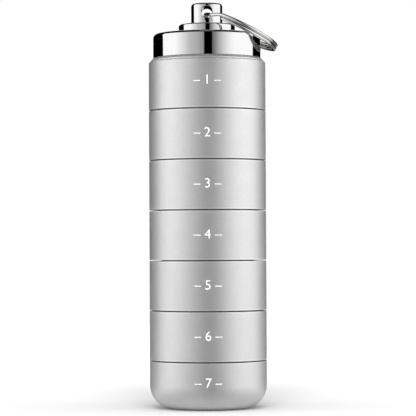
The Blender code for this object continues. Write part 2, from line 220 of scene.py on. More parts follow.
# painted shade: the colour is darker in the dents than between them
SATIN_DENT_PAINTED_SHADE = (0.81, 0.90)     # in the dents, and between them
SATIN_ROUGHNESS = 0.52
CLOUD_SIZE, CLOUD_CHANGE = 3 * MM, 0.02         # patches of slightly different roughness
GRAIN_SIZE, GRAIN_DEPTH = 0.22 * MM, 0.0045 * MM


def satin_aluminium():
    """The cups' metal."""
    made, tree, shader = new_finish("satin_aluminium", SATIN_COLOUR, SATIN_ROUGHNESS, metallic=1.0)
    low, high = SATIN_ROUGHNESS - CLOUD_CHANGE, SATIN_ROUGHNESS + CLOUD_CHANGE
    patchy(tree, shader, CLOUD_SIZE, low, high)
    grain = noise(tree, GRAIN_SIZE, detail=3)
    # painted highlights along the seams, added to the grain's colour with its painted shade in the dents
    colour = sum_of(tree, "ADD", painted_seam_highlights(tree), spread(tree, grain, *SATIN_DENT_PAINTED_SHADE))
    tree.links.new(colour, shader.inputs["Base Color"])
    bump(tree, shader, grain, GRAIN_DEPTH)
    return made


# %% [markdown]
# ### Polished chrome, and the ring's nickel
#
# Chrome is all reflection: an even colour, almost no roughness, and the faintest waviness left by the
# polishing wheel. The key ring is nickel-plated spring wire. Pockets and other keys rub it, so it is a
# little duller, in small patches, and its waves are shorter.

# %% Chrome and nickel
def polished_chrome():
    """The lid and the post."""
    made, tree, shader = new_finish("polished_chrome", (0.70, 0.70, 0.70), 0.04, metallic=1.0)
    patchy(tree, shader, size=2 * MM, low=0.03, high=0.05)
    uneven(tree, shader, size=6 * MM, depth=0.002 * MM, detail=0)
    return made


def nickel_wire():
    """The key ring."""
    made, tree, shader = new_finish("nickel_wire", (0.68, 0.68, 0.67), 0.07, metallic=1.0)
    patchy(tree, shader, size=0.8 * MM, low=0.05, high=0.09, detail=3)
    uneven(tree, shader, size=3 * MM, depth=0.002 * MM, detail=0)
    return made


# %% [markdown]
# ### The small parts inside, and the numbers
#
# The seals are moulded silicone, milky and slightly see-through. The swivel's ring is black rubber, and its
# washer and screw are zinc-plated steel, which has a faint patchy sheen. The numbers on the cups are white
# enamel.

# %% Silicone, rubber, zinc and enamel
MILKINESS, MILK_REACH = 0.4, 0.5 * MM


def clear_silicone():
    """The flat seals."""
    made, tree, shader = new_finish("clear_silicone", (0.80, 0.81, 0.80), 0.45)
    shader.inputs["Subsurface Weight"].default_value = MILKINESS
    shader.inputs["Subsurface Scale"].default_value = MILK_REACH
    uneven(tree, shader, size=0.15 * MM, depth=0.004 * MM)
    return made


def black_rubber():
    """The ring round the post's shank."""
    made, tree, shader = new_finish("black_rubber", (0.03, 0.03, 0.03), 0.6)
    uneven(tree, shader, size=0.1 * MM, depth=0.004 * MM)
    return made


def zinc_plate():
    """The washer and the screw."""
    made, tree, shader = new_finish("zinc_plate", (0.62, 0.62, 0.61), 0.28, metallic=1.0)
    patchy(tree, shader, size=0.6 * MM, low=0.22, high=0.36)
    uneven(tree, shader, size=0.2 * MM, depth=0.003 * MM)
    return made


def white_enamel():
    """The numbers."""
    made, tree, shader = new_finish("white_enamel", (0.94, 0.94, 0.94), 0.5)
    uneven(tree, shader, size=0.1 * MM, depth=0.003 * MM)
    return made


satin = satin_aluminium()
chrome = polished_chrome()
nickel = nickel_wire()
silicone = clear_silicone()
rubber = black_rubber()
zinc = zinc_plate()
enamel = white_enamel()
print("finishes:", ", ".join(made.name for made in (satin, chrome, nickel, silicone, rubber, zinc, enamel)))

# %% [markdown]
# ## The outline of a turned piece
#
# Almost every piece comes off a lathe, so it is drawn as half of its cross-section: points of a radius and
# a height. Only the sharp corners are written down, each with the size of its round, and a helper works out
# the arcs. A second helper puts a row close to each end of a long straight stretch. Without it the smooth
# shading would bend the reflections of a whole flat face towards its rounded edge.

# %% Rounded outlines
ROUND_STEPS = 10
HOLD = 0.05 * MM                # from a round to the row that keeps the next face flat
LONG = 0.2 * MM                 # the shortest stretch that gets such rows


def rounded(corners, closed=False):
    """The points of an outline. A corner is (radius, height) or (radius, height, size of its round)."""
    points = []
    for index, (radius, height, *size) in enumerate(corners):
        corner = Vector((radius, height))
        if not size:
            points.append(corner)
            continue
        to_last = (Vector(corners[index - 1][:2]) - corner).normalized()
        to_next = (Vector(corners[(index + 1) % len(corners)][:2]) - corner).normalized()
        half = to_last.angle(to_next) / 2
        middle = corner + (to_last + to_next).normalized() * size[0] / math.sin(half)
        start = corner + to_last * size[0] / math.tan(half) - middle
        end = corner + to_next * size[0] / math.tan(half) - middle
        for step in range(ROUND_STEPS + 1):
            points.append(middle + start.slerp(end, step / ROUND_STEPS).normalized() * size[0])
    return held(points + points[:1] if closed else points)


def held(points):
    """The same outline with a row close to each end of every long straight stretch."""
    kept = [points[0]]
    for here, after in zip(points, points[1:]):
        run = after - here
        if run.length > LONG:
            kept += [here + run.normalized() * HOLD, after - run.normalized() * HOLD]
        kept.append(after)
    return kept


# %% [markdown]
# ## The screw threads
#
# A thread is a helical rib on a wall. It could be a separate swept rib joined by a Boolean, but here the
# wall itself is drawn in close rows that lean with the thread, and pushed out where the rib runs. The wall
# stays one clean surface, and its crest follows a row exactly. What each thread needs to know travels with
# the outline as attributes of its points: how far it rises, where it starts, and between which heights it
# runs.

# %% Thread rows
THREAD_PITCH = 2.0 * MM
THREAD_ROWS = 20                # rows in a pitch
NECK_RADIUS = 11.9 * MM
RECESS_RADIUS = 12.75 * MM
THREAD_DEPTH = 0.65 * MM
NECK_THREAD = {"start": 0, "first": 0.35 * MM, "last": 2.65 * MM, "rise": THREAD_DEPTH}
RECESS_THREAD = {"start": 1.0 * MM, "first": 0.65 * MM, "last": 2.8 * MM, "rise": -THREAD_DEPTH}
THREAD_FACTS = ("start", "first", "last", "rise", "low", "high")
ON_WALL = 0.005 * MM            # how near a wall's radius a stretch lies that belongs to it


def threaded(rows, wall, thread, rim):
    """Swaps the plain stretch of a wall for leaning rows. The thread's heights are counted from a rim."""
    made = []
    for (here, facts), (after, _) in zip(rows, rows[1:] + rows[-1:]):
        made.append((here, facts))
        off_wall = abs(here.x - wall) + abs(after.x - wall)
        if off_wall > ON_WALL or abs(after.y - here.y) < THREAD_PITCH:
            continue
        low, high = sorted((here.y, after.y))
        rib = {name: thread[name] + rim for name in ("start", "first", "last")}
        rib |= {"rise": thread["rise"], "low": low, "high": high}
        step = THREAD_PITCH / THREAD_ROWS
        count = math.ceil((high + THREAD_PITCH - low) / step)
        leaning = [(Vector((wall, low + step * row)), rib) for row in range(count + 1)]
        made += leaning if here.y < after.y else reversed(leaning)
    return made


def outline_mesh(name, rows):
    """A chain of edges in the XZ plane, with the thread's facts on its points."""
    mesh = bpy.data.meshes.new(name)
    spots = [(point.x, 0, point.y) for point, _ in rows]
    mesh.from_pydata(spots, [(row, row + 1) for row in range(len(rows) - 1)], [])
    for fact in THREAD_FACTS:
        values = mesh.attributes.new(fact, "FLOAT", "POINT")
        for slot, (point, facts) in zip(values.data, rows):
            plain = point.y if fact in ("low", "high") else 0       # keeps a plain row's height
            slot.value = facts[fact] if facts else plain
    return mesh


# %% [markdown]
# ## Geometry Nodes: the lathe
#
# One tree turns every outline. A grid has a column for each step round the axis and a row for each point of
# the outline. Every grid point looks up its outline point by row, leans and clamps its height, finds the
# nearest turn of the rib, and is then set down at its angle. The first and last columns meet where the
# thread has climbed one pitch, which is a whole number of rows, so merging by distance closes the seam.

# %% Start and end a tree
MERGE_DISTANCE = 0.0005 * MM


def new_tree(name, inputs):
    """A tree with a geometry, the named inputs and a material. Returns it with its inputs' sockets."""
    tree = bpy.data.node_groups.new(name, "GeometryNodeTree")
    for label, kind in {"Geometry": "Geometry", **inputs, "Material": "Material"}.items():
        tree.interface.new_socket(label, in_out="INPUT", socket_type=f"NodeSocket{kind}")
    tree.interface.new_socket("Geometry", in_out="OUTPUT", socket_type="NodeSocketGeometry")
    return tree, tree.nodes.new("NodeGroupInput").outputs


def close_tree(tree, geometry, material):
    """The end of every tree: doubles merged, instances made real, and the material set."""
    doubles = {"Geometry": geometry, "Distance": MERGE_DISTANCE}
    merged = result_of(tree, "GeometryNodeMergeByDistance", doubles)
    real = result_of(tree, "GeometryNodeRealizeInstances", {"Geometry": merged})
    finish = result_of(tree, "GeometryNodeSetMaterial", {"Geometry": real, "Material": material})
    tree.links.new(finish, tree.nodes.new("NodeGroupOutput").inputs[0])
    print(f"{tree.name}: {len(tree.nodes)} nodes")


def moved_to(tree, geometry, *spot):
    """A geometry whose points are set down where three numbers say."""
    spot = result_of(tree, "ShaderNodeCombineXYZ", dict(enumerate(spot)))
    return result_of(tree, "GeometryNodeSetPosition", {"Geometry": geometry, "Position": spot})


# %% The lathe's tree
RIB_ROOT_WIDTH = 0.82 * MM
RIB_CREST_WIDTH = 0.44 * MM
RIB_FADE = 0.125 * MM           # climb over which a rib's end sinks into its wall


def lathe_tree():
    """Turns an outline round the axis, with its threads."""
    inputs = {"Segments": "Int"} | dict.fromkeys(("Pitch", "Root width", "Crest width", "Fade"), "Float")
    tree, given = new_tree("lathe", inputs)
    calc = partial(sum_of, tree)
    outline = given["Geometry"]
    count = add_node(tree, "GeometryNodeAttributeDomainSize", {"Geometry": outline}).outputs["Point Count"]
    columns = calc("ADD", given["Segments"], 1)
    sizes = {"Size X": 1.0, "Size Y": 1.0, "Vertices X": columns, "Vertices Y": count}
    grid = result_of(tree, "GeometryNodeMeshGrid", sizes)       # from -0.5 to 0.5 both ways
    where = result_of(tree, "GeometryNodeInputPosition")
    across = add_node(tree, "ShaderNodeSeparateXYZ", {0: where}).outputs
    turn = calc("ADD", across[0], 0.5)
    row = calc("ROUND", calc("MULTIPLY", calc("ADD", across[1], 0.5), calc("SUBTRACT", count, 1)))

    def looked_up(value, kind):
        inputs = {"Geometry": outline, "Value": value, "Index": row}
        return result_of(tree, "GeometryNodeSampleIndex", inputs, data_type=kind, domain="POINT")

    def fact(name):
        named = result_of(tree, "GeometryNodeInputNamedAttribute", {"Name": name}, data_type="FLOAT")
        return looked_up(named, "FLOAT")

    point = add_node(tree, "ShaderNodeSeparateXYZ", {0: looked_up(where, "FLOAT_VECTOR")}).outputs
    leaning = calc("SUBTRACT", point[2], calc("MULTIPLY", given["Pitch"], calc("SUBTRACT", 1, turn)))
    height = calc("MAXIMUM", fact("low"), calc("MINIMUM", fact("high"), leaning))

    start = fact("start")
    turns = calc("SUBTRACT", calc("DIVIDE", calc("SUBTRACT", height, start), given["Pitch"]), turn)
    middle = calc("MULTIPLY_ADD", calc("ADD", calc("ROUND", turns), turn), given["Pitch"], start)
    away = calc("ABSOLUTE", calc("SUBTRACT", height, middle))
    half_root, half_crest = (calc("DIVIDE", given[f"{end} width"], 2) for end in ("Root", "Crest"))
    flank = ramp(tree, away, half_root, half_crest)
    first, last = fact("first"), fact("last")
    begun = ramp(tree, middle, first, calc("ADD", first, given["Fade"]))
    ended = ramp(tree, middle, last, calc("SUBTRACT", last, given["Fade"]))
    pushed = calc("MULTIPLY", calc("MULTIPLY", flank, fact("rise")), calc("MULTIPLY", begun, ended))
    radius = calc("ADD", point[0], pushed)

    angle = calc("MULTIPLY", turn, math.tau)
    x = calc("MULTIPLY", radius, calc("COSINE", angle))
    y = calc("MULTIPLY", radius, calc("SINE", angle))
    close_tree(tree, moved_to(tree, grid, x, y, height), given["Material"])
    return tree


lathe = lathe_tree()

# %% [markdown]
# ## From a tree to a plain piece
#
# A tree runs as a modifier. Its inputs are set by their identifiers, and then the evaluated result is
# copied into a plain mesh, because the finished pieces should hold real triangles. Faces are turned
# outwards, and edges of more than 30 degrees stay crisp. The steps of a round are only 9 degrees.

# %% Run a tree, and place a piece
SHARP_DEG = 30
TURNED_STEPS = 192              # steps round the axis, of a cup
FINE_STEPS = 256                # of a chrome piece
SEAL_STEPS = 128
SMALL_STEPS = 96                # of a small piece inside


def run_tree(name, tree, start, values):
    """The plain mesh that a tree makes from a starting mesh."""
    holder = new_object(name, start)
    modifier = holder.modifiers.new(tree.name, "NODES")
    modifier.node_group = tree
    sockets = {item.name: item for item in tree.interface.items_tree if item.in_out == "INPUT"}
    for label, value in values.items():
        modifier[sockets[label].identifier] = value
    graph = bpy.context.evaluated_depsgraph_get()
    mesh = bpy.data.meshes.new_from_object(holder.evaluated_get(graph))
    bpy.data.objects.remove(holder)
    bpy.data.meshes.remove(start)
    mesh.name = name
    return tidied(mesh)


def tidied(mesh):
    """Removes slivers, turns the faces outwards and sets the shading."""
    shape = bmesh.new()
    shape.from_mesh(mesh)
    bmesh.ops.dissolve_degenerate(shape, dist=MERGE_DISTANCE, edges=shape.edges)
    bmesh.ops.recalc_face_normals(shape, faces=shape.faces)
    loose = sum(not edge.is_manifold for edge in shape.edges)
    shape.to_mesh(mesh)
    shape.free()
    mesh.shade_smooth()
    mesh.set_sharp_from_angle(angle=math.radians(SHARP_DEG))
    print(f"{mesh.name}: {len(mesh.polygons)} faces, {loose} open edges")
    return mesh


def turned(name, rows, finish, segments=TURNED_STEPS):
    """A turned piece from the rows of its outline."""
    rows = [row if isinstance(row, tuple) else (row, None) for row in rows]
    values = {
        "Segments": segments,
        "Pitch": THREAD_PITCH,
        "Root width": RIB_ROOT_WIDTH,
        "Crest width": RIB_CREST_WIDTH,
        "Fade": RIB_FADE,
        "Material": finish,
    }
    return run_tree(name, lathe, outline_mesh(name, rows), values)


def place(mesh, body, node=None):
    """Puts a finished mesh on its body, in the stead of a CAD node."""
    piece = new_object(mesh.name, mesh)
    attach(piece, body)
    if node:
        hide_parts(node)


# %% [markdown]
# ## The cups
#
# A stacking cup has a threaded recess below its floor, which screws down over the neck of the cup below.
# Outside, only a fine dark seam shows between two cups, 0.25 mm wide, with both of its edges rounded over.
# The sizes that a neighbour must fit come from the frame.

# %% Sizes of the cups
CUP_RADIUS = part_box("cup_day_4")[1].x
MODEL_SEAM_GAP = 0.3 * MM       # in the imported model
SEAM_GAP = 0.25 * MM            # here
SEAM_ROUND = 0.13 * MM
CAVITY_RADIUS = 10.8 * MM
SEAT_ROUND = 0.15 * MM
RECESS_DEPTH = 4.7 * MM
RECESS_ROUND = 0.25 * MM
FLOOR_ROUND = 1.0 * MM


def rim_height(piece):
    """The height of the rim of a cup or of the lid."""
    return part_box(piece)[0].z


def shoulder_height(upper):
    """The height of the shoulder under an upper piece."""
    return rim_height(upper) - MODEL_SEAM_GAP


def piece_above(day):
    """The node that is screwed onto a cup."""
    return f"cup_day_{day - 1}" if day > 1 else "lid"


# %% The parts of a cup's outline
def recess_corners(ceiling, mouth):
    """From the middle of the recess's ceiling down to its mouth."""
    return [(0, ceiling), (RECESS_RADIUS, ceiling, RECESS_ROUND), (RECESS_RADIUS, mouth, SEAT_ROUND)]


def neck_corners(shoulder, top, floor):
    """From the foot of the neck up, over its top, and down to the middle of the cup's floor."""
    return [
        (NECK_RADIUS, shoulder, SEAT_ROUND),
        (NECK_RADIUS, top, SEAT_ROUND),
        (CAVITY_RADIUS, top, SEAT_ROUND),
        (CAVITY_RADIUS, floor, FLOOR_ROUND),
        (0, floor),
    ]


def with_threads(points, upper=None, own=None):
    """The rows of an outline, with a neck thread for an upper piece and a recess thread of its own."""
    rows = [(point, None) for point in points]
    if upper:
        rows = threaded(rows, NECK_RADIUS, NECK_THREAD, rim_height(upper))
    if own:
        rows = threaded(rows, RECESS_RADIUS, RECESS_THREAD, rim_height(own))
    return rows


# %% The bottom cup, with its rounded foot
BASE_FLOOR = 2.4 * MM
FOOT_ROUND = 6.4 * MM
FOOT_RISE = 6.1 * MM            # from the table to where the side is straight
FOOT_STEPS = 24


def base_cup():
    """The closed cup that stands on the table."""
    upper = piece_above(7)
    shoulder = shoulder_height(upper)
    start = math.asin(FOOT_RISE / FOOT_ROUND)
    angles = [start * (step / FOOT_STEPS - 1) for step in range(FOOT_STEPS + 1)]
    centre = Vector((CUP_RADIUS - FOOT_ROUND, FOOT_RISE))
    foot = [centre + Vector((math.cos(angle), math.sin(angle))) * FOOT_ROUND for angle in angles]
    corners = [tuple(foot[-1]), (CUP_RADIUS, shoulder, SEAM_ROUND)]
    corners += neck_corners(shoulder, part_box("cup_day_7")[1].z, BASE_FLOOR)
    points = held([Vector((0, 0)), foot[0]]) + foot[1:-1] + rounded(corners)
    return turned("base_cup", with_threads(points, upper=upper), satin)


# %% The five equal cups and the top cup
CUP_FLOOR = 1.2 * MM
COLLAR_HEIGHT = 0.85 * MM
COLLAR_STEP = 0.27 * MM
COLLAR_RADIUS = 14.42 * MM
COLLAR_TOP_RADIUS = 13.87 * MM
TOP_ROUND = 0.55 * MM
FINE_ROUND = 0.06 * MM


def stacking_cup(day):
    """A cup with a recess below. The top one also has a collar under the lid."""
    node, upper = f"cup_day_{day}", piece_above(day)
    rim, shoulder = rim_height(node), shoulder_height(upper)
    mouth = shoulder_height(node) + SEAM_GAP
    corners = recess_corners(rim + RECESS_DEPTH, mouth) + [(CUP_RADIUS, mouth, SEAM_ROUND)]
    if day > 1:
        corners.append((CUP_RADIUS, shoulder, SEAM_ROUND))
    else:
        step = shoulder - COLLAR_HEIGHT
        corners += [
            (CUP_RADIUS, step, TOP_ROUND),
            (COLLAR_RADIUS, step),
            (COLLAR_RADIUS, step + COLLAR_STEP, FINE_ROUND),
            (COLLAR_TOP_RADIUS, shoulder, FINE_ROUND),
        ]
    corners += neck_corners(shoulder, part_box(node)[1].z, rim + RECESS_DEPTH + CUP_FLOOR)
    points = rounded(corners)
    return turned(f"stacking_cup_{day}", with_threads(points, upper=upper, own=node), satin)


place(base_cup(), "base_cup", "cup_day_7")
for day in DAYS[:-1]:
    place(stacking_cup(day), f"cup_{day}", f"cup_day_{day}")

# %% [markdown]
# ## The day numbers
#
# Each cup carries a number, engraved and filled with white enamel, between two short bars. The numbers are
# one Geometry Nodes tree that takes the text: it fills the letters' curves, cuts them into small triangles
# so that they can bend, gives them a thickness, and wraps them round the cup.

# %% The marking tree
MARK_SIZE = 3.4 * MM            # of the type, which makes figures 2.5 mm high
MARK_THICKNESS = 0.05 * MM
MARK_PROUD = 0.012 * MM         # how far the enamel stands out from the metal
MARK_CUTS = 3


def marking_tree():
    """Wraps a line of text round a cup."""
    lengths = dict.fromkeys(("Size", "Radius", "Height", "Thickness", "Proud"), "Float")
    tree, given = new_tree("marking", {"Text": "String"} | lengths | {"Cuts": "Int"})
    words = {"String": given["Text"], "Size": given["Size"]}
    text = result_of(tree, "GeometryNodeStringToCurves", words, align_x="CENTER", align_y="MIDDLE")
    curves = result_of(tree, "GeometryNodeRealizeInstances", {"Geometry": text})
    filled = result_of(tree, "GeometryNodeFillCurve", {"Curve": curves})
    small = result_of(tree, "GeometryNodeSubdivideMesh", {"Mesh": filled, "Level": given["Cuts"]})
    thick = {"Mesh": small, "Offset Scale": given["Thickness"], "Individual": False}
    front = result_of(tree, "GeometryNodeExtrudeMesh", thick)
    back = result_of(tree, "GeometryNodeFlipFaces", {"Mesh": small})
    both = add_node(tree, "GeometryNodeJoinGeometry")
    for side in (front, back):
        tree.links.new(side, both.inputs[0])

    calc = partial(sum_of, tree)
    where = result_of(tree, "GeometryNodeInputPosition")
    flat = add_node(tree, "ShaderNodeSeparateXYZ", {0: where}).outputs
    angle = calc("DIVIDE", flat[0], given["Radius"])
    depth = calc("SUBTRACT", given["Proud"], given["Thickness"])
    radius = calc("ADD", calc("ADD", given["Radius"], depth), flat[2])
    x = calc("MULTIPLY", radius, calc("SINE", angle))
    y = calc("MULTIPLY", calc("MULTIPLY", radius, -1), calc("COSINE", angle))
    z = calc("ADD", flat[1], given["Height"])
    close_tree(tree, moved_to(tree, both.outputs[0], x, y, z), given["Material"])
    return tree


marking = marking_tree()

# %% One number on each cup
MARK_HEIGHTS = {7: 7.1 * MM}    # the bottom cup's number stands a little above its middle


def day_number(day):
    """A cup's number, at the middle of its outside."""
    middle = (rim_height(f"cup_day_{day}") + rim_height(piece_above(day))) / 2
    values = {
        "Text": f"– {day} –",
        "Size": MARK_SIZE,
        "Radius": CUP_RADIUS,
        "Height": MARK_HEIGHTS.get(day, middle),
        "Thickness": MARK_THICKNESS,
        "Proud": MARK_PROUD,
        "Cuts": MARK_CUTS,
        "Material": enamel,
    }
    return run_tree(f"number_{day}", marking, bpy.data.meshes.new("blank"), values)


for day in DAYS:
    place(day_number(day), "base_cup" if day == 7 else f"cup_{day}")

# %% [markdown]
# ## The seals
#
# A flat silicone ring lies in the ceiling of each recess and closes the cup below. It is turned like the
# rest, from a closed outline whose edges are softly rounded by the mould.

# %% Seven flat seals
SEAL_ROUND = 0.15 * MM
SEAL_INNER_RADIUS = CAVITY_RADIUS - 0.2 * MM


def ring_outline(low, high, inner, outer, size):
    """The closed outline of a flat ring with rounded edges."""
    corners = [(inner, low), (outer, low), (outer, high), (inner, high)]
    return rounded([(*corner, size) for corner in corners], closed=True)


for day in DAYS:
    node = f"seal_day_{day}"
    low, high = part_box(node)
    outline = ring_outline(low.z, high.z, SEAL_INNER_RADIUS, high.x, SEAL_ROUND)
    seal = turned(f"flat_seal_{day}", outline, silicone, SEAL_STEPS)
    place(seal, f"seal_{day}", node)

# %% [markdown]
# ## The lid
#
# The lid is a shallow chrome cap. Its broad round runs smoothly into a top that rises slightly to the
# middle, where a pocket holds the swivel's rubber ring. Chrome shows every fault in a surface, so it gets
# more steps round the axis than the cups. Its lower edge all but rests on the top cup's collar.

# %% A chrome cap
LID_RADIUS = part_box("lid")[1].x
LID_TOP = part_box("lid")[1].z
LID_CROWN = 0.25 * MM
LID_ROUND = 1.2 * MM
SWIVEL_HOLE_RADIUS = 2.3 * MM
POCKET_RADIUS = 3.4 * MM
POCKET_DEPTH = 1.0 * MM
LID_GAP = 0.04 * MM             # down to the collar


def lid():
    """A cap with a recess below and a pocket above."""
    ceiling = rim_height("lid") + RECESS_DEPTH
    mouth = shoulder_height("lid") + LID_GAP
    fall = LID_CROWN * (LID_RADIUS - POCKET_RADIUS) / (LID_RADIUS - LID_ROUND - POCKET_RADIUS)
    corners = [
        (SWIVEL_HOLE_RADIUS, ceiling, SEAT_ROUND),
        (RECESS_RADIUS, ceiling, RECESS_ROUND),
        (RECESS_RADIUS, mouth, SEAT_ROUND),
        (LID_RADIUS, mouth, FINE_ROUND),
        (LID_RADIUS, LID_TOP - fall, LID_ROUND),
        (POCKET_RADIUS, LID_TOP, SEAT_ROUND),
        (POCKET_RADIUS, LID_TOP - POCKET_DEPTH, SEAT_ROUND),
        (SWIVEL_HOLE_RADIUS, LID_TOP - POCKET_DEPTH, SEAT_ROUND),
    ]
    rows = with_threads(rounded(corners, closed=True), own="lid")
    return turned("chrome_lid", rows, chrome, FINE_STEPS)


place(lid(), "lid", "lid")

# %% [markdown]
# ## The swivel post
#
# The post is turned with its flange and its hollow shank, and then drilled from front to back. The mouths
# of the hole are rounded over generously so that the key ring doesn't chafe, so the cutter is a turned
# piece too: straight in the middle, and flaring in an arc at both ends.

# %% Turn the post and drill it
FLANGE_SEAT = rim_height("lid") + 6.30 * MM
POST_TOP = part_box("swivel_post")[1].z
POST_RADIUS = 4.03 * MM
POST_ROUND = 0.8 * MM
FLANGE_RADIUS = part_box("swivel_post")[1].x
FLANGE_TOP = rim_height("lid") + 8.40 * MM
FLANGE_ROUND = 0.6 * MM
FLANGE_FOOT_ROUND = 0.12 * MM
SHANK_RADIUS = 2.0 * MM
SCREW_BORE_RADIUS = 1.3 * MM
SCREW_BORE_TOP = rim_height("lid") + 8.3 * MM
CROSS_HOLE_Z = POST_TOP - 2.37 * MM
CROSS_HOLE_RADIUS = 1.45 * MM
CROSS_HOLE_ROUND = 0.45 * MM
OVERRUN = 1.0 * MM
GRAZE = 0.01 * MM               # keeps the cutter's flat from lying exactly on the post's side


def cut(mesh, tool):
    """The first mesh with the second one cut from it. Both are used up."""
    name = mesh.name
    body, cutter = new_object(name, mesh), new_object(tool.name, tool)
    modifier = body.modifiers.new("cut", "BOOLEAN")
    modifier.operation = "DIFFERENCE"
    modifier.object = cutter
    graph = bpy.context.evaluated_depsgraph_get()
    result = bpy.data.meshes.new_from_object(body.evaluated_get(graph))
    for piece, data in ((body, mesh), (cutter, tool)):
        bpy.data.objects.remove(piece)
        bpy.data.meshes.remove(data)
    result.name = name
    return tidied(result)


def cross_hole():
    """The drill with both its rounded mouths, along Y at the height of the hole."""
    face, wide = POST_RADIUS + GRAZE, CROSS_HOLE_RADIUS + CROSS_HOLE_ROUND
    corners = [
        (0, -face - OVERRUN),
        (wide, -face - OVERRUN),
        (wide, -face),
        (CROSS_HOLE_RADIUS, -face, CROSS_HOLE_ROUND),
        (CROSS_HOLE_RADIUS, face, CROSS_HOLE_ROUND),
        (wide, face),
        (wide, face + OVERRUN),
        (0, face + OVERRUN),
    ]
    tool = turned("cross_hole", rounded(corners), chrome, SMALL_STEPS)
    lift = Matrix.Translation((0, 0, CROSS_HOLE_Z))
    tool.transform(lift @ Matrix.Rotation(math.radians(90), 4, "X"))
    return tool


def post():
    """The post with its flange and its hollow shank, drilled."""
    shank_end = rim_height("lid") + RECESS_DEPTH
    corners = [
        (0, SCREW_BORE_TOP),
        (SCREW_BORE_RADIUS, SCREW_BORE_TOP),
        (SCREW_BORE_RADIUS, shank_end, SEAT_ROUND),
        (SHANK_RADIUS, shank_end, SEAT_ROUND),
        (SHANK_RADIUS, FLANGE_SEAT, SEAT_ROUND),
        (FLANGE_RADIUS, FLANGE_SEAT, SEAT_ROUND),
        (FLANGE_RADIUS, FLANGE_TOP, FLANGE_ROUND),
        (POST_RADIUS, FLANGE_TOP, FLANGE_FOOT_ROUND),
        (POST_RADIUS, POST_TOP, POST_ROUND),
        (0, POST_TOP),
    ]
    return cut(turned("chrome_post", rounded(corners), chrome, FINE_STEPS), cross_hole())


place(post(), "post", "swivel_post")

# %% [markdown]
# ## What holds the post in the lid
#
# Below the lid's ceiling a washer and a slotted screw carry the post, and a small rubber ring keeps the
# hole tight. None of them shows until the lid is off, but each is made as it would be on the bench.

# %% The rubber ring, the washer and the screw
RUBBER_RADIUS = 2.75 * MM       # of the ring's middle line
RUBBER_WIRE = 0.35 * MM         # half the ring's thickness
RUBBER_SIDES = 24
WASHER_RADIUS = 4.4 * MM
WASHER_ROUND = 0.1 * MM
SCREW_RADIUS = 1.0 * MM
SCREW_HEAD_HEIGHT = 1.1 * MM
SCREW_HEAD_ROUND = 0.4 * MM
SCREW_SLOT_WIDTH = 0.8 * MM
SCREW_SLOT_DEPTH = 0.5 * MM


def rubber_ring():
    """A plain round ring."""
    low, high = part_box("shank_seal")
    middle = Vector((RUBBER_RADIUS, (low.z + high.z) / 2))
    angles = [math.tau * step / RUBBER_SIDES for step in range(RUBBER_SIDES + 1)]
    points = [middle + Vector((math.cos(angle), math.sin(angle))) * RUBBER_WIRE for angle in angles]
    return turned("rubber_ring", points, rubber, SMALL_STEPS)


def washer():
    """A flat ring."""
    low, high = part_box("retaining_washer")
    outline = ring_outline(low.z, high.z, SCREW_BORE_RADIUS, WASHER_RADIUS, WASHER_ROUND)
    return turned("zinc_washer", outline, zinc, SMALL_STEPS)


def screw():
    """A screw whose head points down, with a slot across it."""
    low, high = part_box("post_screw")
    head = low.z + SCREW_HEAD_HEIGHT
    corners = [
        (0, low.z),
        (high.x, low.z, SCREW_HEAD_ROUND),
        (high.x, head, WASHER_ROUND),
        (SCREW_RADIUS, head, WASHER_ROUND),
        (SCREW_RADIUS, high.z, SEAT_ROUND),
        (0, high.z),
    ]
    slot = bmesh.new()
    bmesh.ops.create_cube(slot, size=1)
    bmesh.ops.scale(slot, vec=(4 * high.x, SCREW_SLOT_WIDTH, 2 * SCREW_SLOT_DEPTH), verts=slot.verts)
    bmesh.ops.translate(slot, vec=(0, 0, low.z), verts=slot.verts)
    tool = bpy.data.meshes.new("screw_slot")
    slot.to_mesh(tool)
    slot.free()
    tool.materials.append(zinc)
    return cut(turned("zinc_screw", rounded(corners), zinc, SMALL_STEPS), tool)


place(rubber_ring(), "lid", "shank_seal")
place(washer(), "post", "retaining_washer")
place(screw(), "post", "post_screw")

# %% [markdown]
# ## The split ring
#
# A split ring is one wire, wound here a little over one and a half times round. Its lower coil passes
# through the post's cross hole, and at the front of the post the wire jogs up over its own end and becomes
# the upper coil. The tree winds it flat: the angle grows along a line of points, and the height follows a
# smooth step. Then the whole ring is tipped until it leans on the lid's edge.

# %% Wind the ring
RING_RADIUS = 9.95 * MM
RING_WIRE = 0.91 * MM
RING_FREE_END_DEG = 53
RING_JOG_DEG = (384, 414)
RING_LAST_END_DEG = 632
RING_DROOP_DEG = 26.4
RING_TURN_DEG = 5.0             # the far side swings out over the lid's edge
RING_MIDDLE = (-0.20 * MM, -0.02 * MM, 101.48 * MM)     # between the two coils, at the cross hole
RING_POINTS = 300
WIRE_SIDES = 24
WIRE_END_ROUND = 0.25 * MM


